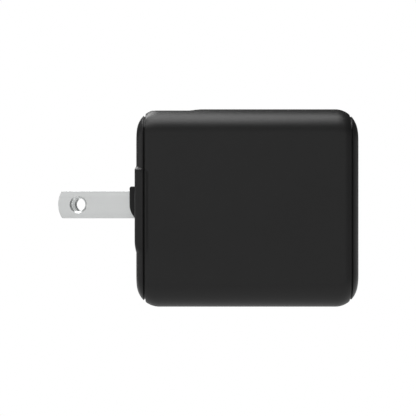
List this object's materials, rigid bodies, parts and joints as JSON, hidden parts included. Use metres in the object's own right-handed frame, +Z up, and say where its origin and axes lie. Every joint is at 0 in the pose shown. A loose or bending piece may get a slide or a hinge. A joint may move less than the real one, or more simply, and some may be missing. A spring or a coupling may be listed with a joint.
{
  "type": "usb wall charger",
  "caption": "Compact matt black USB wall charger: rounded case with end caps, stacked USB sockets in front and flat plug blades that fold down into slots in its rear face.",
  "frame": {"origin": "middle of the rear pad, the face that rests against the wall outlet", "axes": "-X points into the wall along the unfolded blades and +X out of the USB sockets; Y is the thickness, across the two blades; +Z is up"},
  "size_m": [0.0687, 0.0284, 0.0452],
  "materials": {
    "case_black": "moulded matt black polycarbonate with a very fine spark-eroded grain",
    "cap_black": "moulded matt black polycarbonate end caps",
    "hub_black": "smooth black nylon, slightly glossier than the case",
    "blade_nickel": "nickel-plated brass, fine rolled grain along the blade",
    "keeper_nylon": "dark grey nylon",
    "spring_steel": "bright rolled spring steel",
    "contact_brass": "rolled phosphor bronze",
    "socket_steel": "nickel-plated folded steel sheet",
    "tongue_white": "white glass-filled nylon",
    "pin_gold": "gold-plated bronze",
    "board_green": "green solder mask on glass-epoxy board",
    "ferrite": "pressed ferrite, dull dark grey",
    "bobbin_black": "black phenolic moulding",
    "copper_wire": "enamelled copper wire",
    "tape_yellow": "yellow polyester tape",
    "can_sleeve": "heat-shrunk sleeve on an aluminium can",
    "film_yellow": "yellow moulded film-capacitor box",
    "disc_blue": "blue lacquered ceramic disc",
    "fuse_body": "cement-coated resistor body",
    "chip_black": "moulded chip package with tinned legs",
    "sheet_black": "black insulating paper",
    "pad_silicone": "grey silicone gap pad"
  },
  "bodies": {
    "case": {"main_sleeve": "case_black", "rear_cap": "cap_black", "front_cap": "cap_black", "hinge_keeper": "keeper_nylon", "detent_leaf": "spring_steel", "line_contact": "contact_brass", "neutral_contact": "contact_brass", "usb_shell_upper": "socket_steel", "usb_shell_lower": "socket_steel", "usb_tongue_upper": "tongue_white", "usb_tongue_lower": "tongue_white", "usb_pins_upper": "pin_gold", "usb_pins_lower": "pin_gold", "main_board": "board_green", "input_capacitor_upper": "can_sleeve", "input_capacitor_lower": "can_sleeve", "output_capacitor_upper": "can_sleeve", "output_capacitor_lower": "can_sleeve", "transformer_core": "ferrite", "transformer_bobbin": "bobbin_black", "transformer_winding": "copper_wire", "transformer_tape": "tape_yellow", "choke_core": "ferrite", "choke_windings": "copper_wire", "x_capacitor": "film_yellow", "y_capacitor": "disc_blue", "fuse_resistor": "fuse_body", "bridge_rectifier": "chip_black", "controller_chip": "chip_black", "power_transistor": "chip_black", "optocoupler": "chip_black", "output_rectifier": "chip_black", "insulating_sheet": "sheet_black", "thermal_pad": "pad_silicone"},
    "plug": {"plug_hub": "hub_black", "line_blade": "blade_nickel", "neutral_blade": "blade_nickel"}
  },
  "joints": [
    {"name": "plug_fold", "type": "hinge", "parent": "case", "child": "plug", "pos_m": [0.00305, 0, 0.0008], "axis": [0, -1, 0], "range_deg": [0, 90]}
  ]
}
